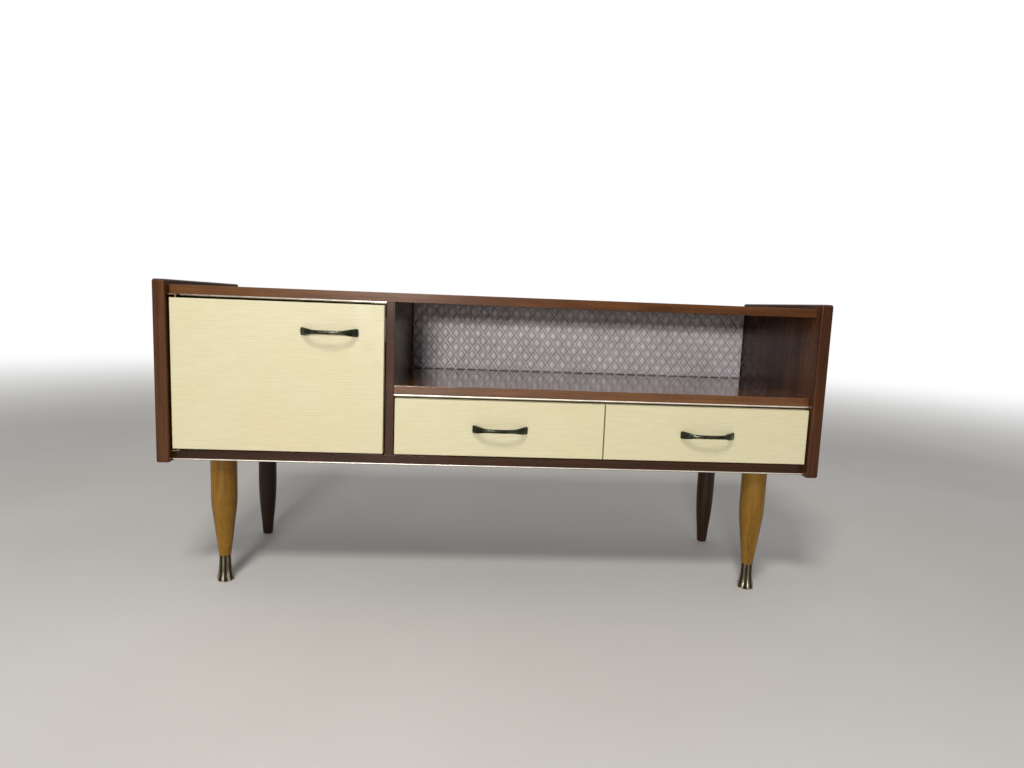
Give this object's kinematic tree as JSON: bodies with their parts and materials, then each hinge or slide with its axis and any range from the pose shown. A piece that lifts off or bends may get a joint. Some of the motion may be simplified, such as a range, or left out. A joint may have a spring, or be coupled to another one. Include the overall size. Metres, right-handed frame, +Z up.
{
  "type": "television cabinet",
  "caption": "Low console television cabinet on turned legs, with a side-hung cream door, an open compartment with a quilted back, and cream drawers under a shelf.",
  "frame": {"origin": "on the floor, under the middle of the cabinet's overall box, handles included", "axes": "+X along the cabinet to the right as seen from the front, +Y from the front to the back, +Z up"},
  "size_m": [1.2, 0.373, 0.56],
  "materials": {
    "brass_ferrule": "polished",
    "brass_trim": "polished",
    "case_veneer": "gloss",
    "catch_plastic": "matte",
    "cream_front": "satin",
    "dark_bronze": "satin",
    "dark_leg": "satin",
    "drawer_wood": "matte",
    "hardboard": "matte",
    "honey_leg": "gloss",
    "quilted_vinyl": "satin",
    "steel": "brushed"
  },
  "bodies": {
    "cabinet": {"back_board": "hardboard", "bottom_board": "case_veneer", "carcass_dowels": "drawer_wood", "centre_divider": "case_veneer", "drawer_partition": "case_veneer", "drawer_runners": "drawer_wood", "front_left_ferrule": "brass_ferrule", "front_left_leg": "honey_leg", "front_left_leg_plate": "steel", "front_right_ferrule": "brass_ferrule", "front_right_leg": "honey_leg", "front_right_leg_plate": "steel", "left_end_panel": "case_veneer", "leg_plate_screws": "steel", "leg_studs": "steel", "lower_pivot_plate": "steel", "magnetic_catch": "catch_plastic", "quilted_back_panel": "quilted_vinyl", "rear_left_leg": "dark_leg", "rear_left_leg_plate": "steel", "rear_right_leg": "dark_leg", "rear_right_leg_plate": "steel", "right_end_panel": "case_veneer", "shelf_board": "case_veneer", "top_board": "case_veneer", "trim_strip_bottom": "brass_trim", "trim_strip_shelf": "brass_trim", "trim_strip_top": "brass_trim", "upper_pivot_plate": "steel"},
    "door": {"catch_strike_plate": "steel", "door_handle": "dark_bronze", "door_handle_screws": "steel", "door_lower_pivot_leaf": "steel", "door_panel": "cream_front", "door_upper_pivot_leaf": "steel"},
    "left_drawer": {"left_drawer_back": "drawer_wood", "left_drawer_bottom": "drawer_wood", "left_drawer_front": "cream_front", "left_drawer_handle": "dark_bronze", "left_drawer_handle_screws": "steel", "left_drawer_left_side": "drawer_wood", "left_drawer_right_side": "drawer_wood"},
    "right_drawer": {"right_drawer_back": "drawer_wood", "right_drawer_bottom": "drawer_wood", "right_drawer_front": "cream_front", "right_drawer_handle": "dark_bronze", "right_drawer_handle_screws": "steel", "right_drawer_left_side": "drawer_wood", "right_drawer_right_side": "drawer_wood"}
  },
  "joints": [
    {"name": "door_hinge", "type": "hinge", "parent": "cabinet", "child": "door", "pos_m": [-0.566, -0.1545, 0.263], "axis": [0, 0, -1], "range_deg": [0, 95]},
    {"name": "left_drawer_slide", "type": "slide", "parent": "cabinet", "child": "left_drawer", "axis": [0, -1, 0], "range_m": [0, 0.25]},
    {"name": "right_drawer_slide", "type": "slide", "parent": "cabinet", "child": "right_drawer", "axis": [0, -1, 0], "range_m": [0, 0.25]}
  ]
}
